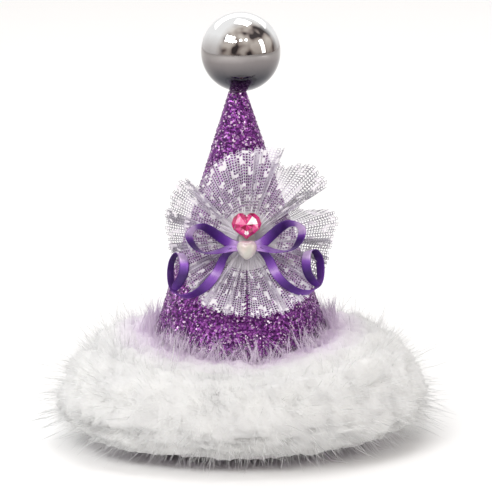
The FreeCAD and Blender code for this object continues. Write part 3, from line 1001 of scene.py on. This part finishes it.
pearl = new_piece("pearl_heart_stone", pearl_bmesh(), pearl_finish())
modify(pearl, "SUBSURF", levels=2, render_levels=2)
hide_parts("heart_pearl")
print("pearl", PEARL_WIDTH, "by", PEARL_LENGTH, "mm")


# %% [markdown]
# ## Marabou down
# Marabou trim is a cord with thousands of soft down feathers wound into it. Each feather has a fine quill with
# loose barbs all along it, and the outer ends draw together into wisps. Hair on a closed solid would look like a
# brush, so the down is made as it grows: a few small tufts of barbs are bent and copied from points all round the
# cord, outwards in every direction but into the cone. First come the outline that the tufts reach for and its sizes.

# %% Down measures
FLUFF_RING = (fluff_high.x + fluff_low.x) / 2 + 60.5 * MM
FLUFF_LEVEL = 24 * MM
FLUFF_WIDE = (fluff_high.x - fluff_low.x) / 2 - FLUFF_RING
FLUFF_TALL = 31 * MM
FLUFF_LEAN = 0.42
FLUFF_FULL = 0.72
TUFT_COUNT = 18000
BARBS = 8


def tall_at(turn):
    """The down stands higher at the sides and behind than in front, where it was combed down."""
    return FLUFF_TALL * (1.38 - 0.40 * max(0.0, -math.sin(turn)) ** 1.5)


def outline(turn, way):
    """From the cord to the outline of the down, in the upright plane: a full oval that leans in to the cone."""
    if way > 0:
        rise = math.sin(way) ** FLUFF_FULL * tall_at(turn)
    else:
        rise = math.sin(way) * FLUFF_LEVEL
    side = math.copysign(abs(math.cos(way)) ** FLUFF_FULL, math.cos(way)) * FLUFF_WIDE
    return Vector((side - FLUFF_LEAN * max(rise, 0), 0, rise))


print("down", round(FLUFF_WIDE * 1000, 1), "mm out from its cord and", round(tall_at(0) * 1000, 1), "mm up")


# %% [markdown]
# ## Down finish
# Down is white and dull. Two tints are mixed in as a choice of look and not as dye: grey at the tips, so that thin
# ends can be read on a white ground, and near the cone the lilac that glitter throws on what lies against it.

# %% Down finish
NEAR_CONE = 62 * MM
CLEAR_OF_GLITTER = 84 * MM


def down_finish():
    finish = Finish("white down", Specular_IOR_Level=0.2)
    finish.shader.inputs["Sheen Weight"].default_value = 0.4
    finish.shader.inputs["Sheen Roughness"].default_value = 0.5
    place = finish.place()
    cloud = finish.speckle(place, 55.0)
    across = finish.node("ShaderNodeSeparateXYZ", {}, [place])
    deep = finish.node("ShaderNodeSeparateXYZ", {}, [place], out=1)
    high = finish.node("ShaderNodeSeparateXYZ", {}, [place], out=2)
    out = (across * across + deep * deep) ** 0.5
    near_cone = finish.node("ShaderNodeMapRange", {}, {"Value": out + high * slope, "From Min": NEAR_CONE,
                                                       "From Max": CLEAR_OF_GLITTER, "To Min": 1.0,
                                                       "To Max": 0.0})
    outward = finish.node("ShaderNodeMath", {"operation": "MAXIMUM"}, [out - FLUFF_RING, 0.0])
    far = ((outward / FLUFF_WIDE) ** 2 + ((high - FLUFF_LEVEL) / (FLUFF_TALL * 1.3)) ** 2) ** 0.5
    tip = finish.node("ShaderNodeMapRange", {}, {"Value": far + (cloud - 0.5) * 0.3, "From Min": 0.93,
                                                 "From Max": 1.10})
    white = finish.ramp(cloud, [(0.3, (0.74, 0.745, 0.75)), (0.7, (0.85, 0.855, 0.85))])
    colour = finish.blend(tip * 0.8, white, rgba(0.20, 0.205, 0.215))
    colour = finish.blend(near_cone * 0.6, colour, rgba(0.80, 0.58, 0.88))
    hair = finish.speckle(place, 900.0, 3.0)
    return finish.wear(Base_Color=colour, Roughness=0.6 + 0.3 * cloud, Normal=finish.bump(hair, 0.0006, 0.7))


down = down_finish()


# %% [markdown]
# ## Soft body under the down
# Tufts alone leave gaps through which the cord would show. A lumpy ring under them stands for the crowd of barbs too
# deep to see. A circle is spun round the hat's axis, and each of its points is moved to about eight tenths of the
# way to the outline, more or less by some noise, but never into the cone or the table.

# %% Soft body under the down
CIRCLE_RADIUS = 10 * MM
BODY_SHARE = 0.80
BODY_FLOOR = 0.8 * MM


def body_bmesh():
    bm = bmesh.new()
    bmesh.ops.create_circle(bm, cap_ends=False, radius=1.0, segments=64)
    for v in bm.verts:
        v.co = Vector((FLUFF_RING + v.co.x * CIRCLE_RADIUS, 0, v.co.y))
    bmesh.ops.spin(bm, geom=bm.verts[:] + bm.edges[:], cent=(0, 0, 0), axis=(0, 0, 1), dvec=(0, 0, 0),
                   angle=2 * math.pi, steps=380, use_merge=True, use_duplicate=False)
    bmesh.ops.remove_doubles(bm, verts=bm.verts, dist=1e-6)
    for v in bm.verts:
        turn = math.atan2(v.co.y, v.co.x)
        way = math.atan2(v.co.z, (math.hypot(v.co.x, v.co.y) - FLUFF_RING) / CIRCLE_RADIUS)
        swell = noise.noise(v.co * 45) * 0.10 + noise.noise(v.co * 190) * 0.05
        to = outline(turn, way) * (BODY_SHARE + swell)
        if math.cos(way) < 0:
            to.x = min(to.x, -FLUFF_LEAN * to.z) - 16 * MM * abs(math.cos(way))
        level = max(FLUFF_LEVEL + to.z, BODY_FLOOR)
        wall = cone_radius(max(level, rim_height)) + 2.2 * MM
        radius = max(FLUFF_RING + to.x, wall)
        fine = noise.noise(Vector((radius * math.cos(turn), radius * math.sin(turn), level)) * 420) * 1.1 * MM
        radius = max(radius + fine, wall)
        v.co = Vector((radius * math.cos(turn), radius * math.sin(turn), max(level + fine, BODY_FLOOR)))
    bmesh.ops.recalc_face_normals(bm, faces=bm.faces)
    return bm


body = new_piece("down_body", body_bmesh(), down)
print("soft body faces", len(body.data.polygons))


# %% [markdown]
# ## One barbed tuft
# A tuft is a bundle of fine barbs that leave one root, spread and droop. Each barb is a strip that narrows to a
# point: one edge extruded twice, then drawn to its tip. The barbs of a bundle differ in length and lean, which
# makes the soft uneven ends.

# %% Tufts
BARB_WIDTH = 0.0095


def tuft_mesh(seed, drawn):
    """Barbs along +Z, about one unit long. The more a tuft is drawn together, the sharper the wisp it ends in."""
    own = np.random.default_rng(seed)
    bm = bmesh.new()
    layer = bm.loops.layers.uv.new("OFBake")
    for i in range(BARBS):
        turn = own.uniform(0, 2 * math.pi)
        spread = own.uniform(0.02, 0.42 - 0.2 * drawn)
        length = own.uniform(0.6, 1.05)
        start = own.uniform(0.0, 0.35)
        lean = Vector((math.cos(turn), math.sin(turn), 0))
        side = Vector((-math.sin(turn), math.cos(turn), own.uniform(-0.3, 0.3)))
        edge = None
        for share, width in ((0.0, 1.0), (0.4, 0.9), (0.75, 0.6), (1.0, 0.0)):
            run = start + (length - start) * share
            middle = lean * spread * run ** 1.6 * (1 - drawn * run ** 5) + Vector((0, 0, run))
            if edge is None:
                edge = bm.edges.new((bm.verts.new(), bm.verts.new()))
            else:
                made = bmesh.ops.extrude_edge_only(bm, edges=[edge])["geom"]
                edge = next(g for g in made if isinstance(g, bmesh.types.BMEdge))
            edge.verts[0].co = middle - side * width * BARB_WIDTH / 2
            edge.verts[1].co = middle + side * width * BARB_WIDTH / 2
        bmesh.ops.pointmerge(bm, verts=edge.verts[:], merge_co=middle)
    for face in bm.faces:
        for loop in face.loops:
            loop[layer].uv = (0.1 + 0.8 * loop.vert.co.z, 0.5 + loop.vert.co.x)
    return mesh_of("tuft", bm)


# %% [markdown]
# ## Planting the tufts
# A tuft is about one unit long. Its matrix puts the root at the cord, turns it the way it grows and stretches it to
# the outline. Noise sets neighbours leaning the same way, which makes clumps, and one tuft in ten stands out past
# the rest. Thin wisps are planted apart from these, in the gap between the ring and the cone.

# %% Planting
def planted(turn, root, out, reach):
    """Matrix of one tuft; root and way out are given in the upright plane at that turn."""
    around = Matrix.Rotation(turn, 3, "Z")
    stand = (around @ out).to_track_quat("Z", "X").to_matrix() @ Matrix.Rotation(rng.uniform(0, 6.28), 3, "Z")
    made = np.array(Matrix.Translation(around @ root) @ (stand * reach).to_4x4())
    made[3, 3] = 1
    return made


def grow(count):
    """Matrices and bends of tufts round the cord, each as long as the way to the ring's outline."""
    matrices = np.zeros((count, 4, 4))
    bends = np.zeros((count, 3))
    for i in range(count):
        turn = rng.uniform(0, 2 * math.pi)
        way = math.radians(rng.triangular(-80, 35, 128))
        clump = noise.noise(Vector((math.cos(turn) * 5, math.sin(turn) * 5, way * 2.2)))
        to = outline(turn, way)
        reach = to.length * rng.uniform(0.84, 1.02) * (1 + 0.16 * clump)
        if rng.random() < 0.10:
            reach *= rng.uniform(1.03, 1.24)
        out = to.normalized() + Vector((0, rng.normal(0, 0.34) + clump * 1.2, rng.normal(0, 0.1)))
        root = Vector((FLUFF_RING + rng.normal(0, 1) * MM, 0, FLUFF_LEVEL + rng.normal(0, 1) * MM))
        matrices[i] = planted(turn, root, out.normalized(), reach)
        bends[i] = (rng.normal(0, 5) * MM, rng.normal(0, 5) * MM, -rng.uniform(-2, 7) * MM)
    return matrices, bends


def grow_wisps(count):
    """Thin long tufts that rise between the ring and the cone and lie against the glitter."""
    matrices = np.zeros((count, 4, 4))
    bends = np.zeros((count, 3))
    for i in range(count):
        turn = rng.uniform(0, 2 * math.pi)
        level = rng.uniform(30, 45) * MM * (tall_at(turn) / FLUFF_TALL) ** 0.5
        radius = cone_radius(level) + rng.uniform(2, 6) * MM
        out = Vector((-slope * 0.7 + rng.normal(0.03, 0.1), rng.normal(0, 0.45), 1)).normalized()
        matrices[i] = planted(turn, Vector((radius, 0, level)), out, rng.uniform(12, 24) * MM)
        bends[i] = (rng.normal(0, 3) * MM, rng.normal(0, 3) * MM, -rng.uniform(0, 2) * MM)
    return matrices, bends


# %% [markdown]
# ## The whole down
# All copies of one tuft become one mesh, because thousands of objects would be slow. A straight tuft can still reach
# into the cone or the table, so each point is pushed out of them at the end. Four tufts, from loose to drawn to a
# point, and the thin wisps make five pieces.

# %% Down
WISP_COUNT = 1400
DRAWN = (0.3, 0.7, 0.9, 1.0)


def copy_uvs(mesh, template, count):
    layer = mesh.uv_layers.new(name="OFBake")
    flat = np.zeros(len(template.loops) * 2)
    template.uv_layers["OFBake"].data.foreach_get("uv", flat)
    layer.data.foreach_set("uv", np.tile(flat, count))


def clear_of_cone(mesh):
    """Keeps the barbs above the table and outside the cone."""
    co = np.zeros(len(mesh.vertices) * 3)
    mesh.vertices.foreach_get("co", co)
    co = co.reshape(-1, 3)
    co[:, 2] = np.maximum(co[:, 2], 0.3 * MM + 0.8 * MM * rng.random(len(co)))
    radius = np.hypot(co[:, 0], co[:, 1])
    wall = rim_radius - (np.maximum(co[:, 2], rim_height) - rim_height) * slope + 1.2 * MM
    push = np.maximum(wall / np.maximum(radius, 1e-6), 1.0)
    co[:, :2] *= push[:, None]
    mesh.vertices.foreach_set("co", co.ravel())
    mesh.update()


def down_piece(name, template, matrices, bends):
    mesh = copies(template, matrices, bends)
    copy_uvs(mesh, template, len(matrices))
    clear_of_cone(mesh)
    mesh.shade_smooth()
    mesh.materials.append(down)
    piece = in_scene(name, mesh)
    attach(piece, "root")
    print(name, len(matrices), "tufts", len(mesh.polygons), "faces")


for number, drawn in enumerate(DRAWN):
    down_piece(f"down_{number + 1}", tuft_mesh(20 + number, drawn), *grow(TUFT_COUNT // len(DRAWN)))
down_piece("down_wisps", tuft_mesh(40, 0.8), *grow_wisps(WISP_COUNT))
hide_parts("marabou_fluff")


# %% [markdown]
# ## Finishes of the parts that stay
# The card inside, the glue, the felt, the threads, the foil, the cord and the eyelets keep the shapes they came
# with. Each gets a finish with its own grain: fibres for card and felt, milky clouds for glue, a twist for thread,
# fine turning marks for the pressed eyelets. The glue under the ball is the only glue in plain sight, and it is shown
# with glitter stuck in it.

# %% Finishes
def grained(name, dark, light, scale, rough, depth, detail=4.0, stretch=(1.0, 1.0, 1.0), **values):
    finish = Finish(name, **values)
    place = finish.stretched(finish.place(), stretch)
    grain = finish.speckle(place, scale, detail)
    cloud = finish.speckle(place, scale * 0.12)
    colour = finish.ramp(grain * 0.6 + cloud * 0.4, [(0.35, dark), (0.65, light)])
    return finish.wear(Base_Color=colour, Roughness=rough[0] + (rough[1] - rough[0]) * grain,
                       Normal=finish.bump(grain, depth, 0.6))


def twisted(name, dark, light, turns, depth):
    finish = Finish(name, Specular_IOR_Level=0.3)
    place = finish.place()
    strand = finish.node("ShaderNodeTexWave", {"bands_direction": "DIAGONAL"},
                         {"Vector": place, "Scale": turns, "Distortion": 1.5})
    fuzz = finish.speckle(place, 2500.0, 3.0)
    colour = finish.ramp(strand * 0.7 + fuzz * 0.3, [(0.2, dark), (0.8, light)])
    return finish.wear(Base_Color=colour, Roughness=0.6 + 0.3 * fuzz, Normal=finish.bump(strand, depth, 0.8))


card = grained("grey card", (0.55, 0.53, 0.50), (0.70, 0.68, 0.65), 900.0, (0.75, 0.95), 0.00006, 6.0)
glue = grained("milky glue", (0.80, 0.78, 0.74), (0.92, 0.91, 0.88), 260.0, (0.18, 0.35), 0.0001, 2.0,
               Coat_Weight=0.4, Transmission_Weight=0.15)
felt = grained("white felt", (0.84, 0.83, 0.86), (0.96, 0.95, 0.97), 1500.0, (0.85, 1.0), 0.0002, 6.0,
               stretch=(1.0, 1.0, 0.6))
foil = grained("silver foil", (0.70, 0.68, 0.70), (0.92, 0.90, 0.92), 1400.0, (0.12, 0.3), 0.00004, 3.0,
               Metallic=1.0)
nickel = grained("pressed nickel", (0.62, 0.60, 0.57), (0.78, 0.77, 0.74), 800.0, (0.14, 0.3), 0.00003, 4.0,
                 stretch=(1.0, 6.0, 6.0), Metallic=1.0)
thread = twisted("white thread", (0.70, 0.70, 0.74), (0.94, 0.93, 0.95), 1400.0, 0.0001)
cord = twisted("white boa cord", (0.66, 0.66, 0.68), (0.90, 0.90, 0.90), 500.0, 0.0003)
worn = {"card_cone": card, "felt_pad": felt, "gem_foil": foil, "gather_thread": thread, "boa_cord": cord,
        "eyelet_left": nickel, "eyelet_right": nickel}
worn.update({name: glue for name in nodes if name.endswith("glue")})
worn["ball_glue"] = grained("glue dusted with glitter", (0.05, 0.01, 0.07), (0.24, 0.10, 0.28), 1200.0,
                            (0.3, 0.6), 0.0001)
for name, material in worn.items():
    dress(name, material)
print("carried parts finished", len(worn) + 1, "of", len(nodes))


# %% [markdown]
# ## Sizes
# The box round the imported parts and the box round the dressed hat are written side by side, so that the two can be
# compared. The down is what stands out past the imported box.

# %% Sizes
seen_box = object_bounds()
for label, box in (("packed", cad_box), ("dressed", seen_box)):
    print(label, "size", [round((b - a) * 1000, 1) for a, b in zip(*box)], "mm")
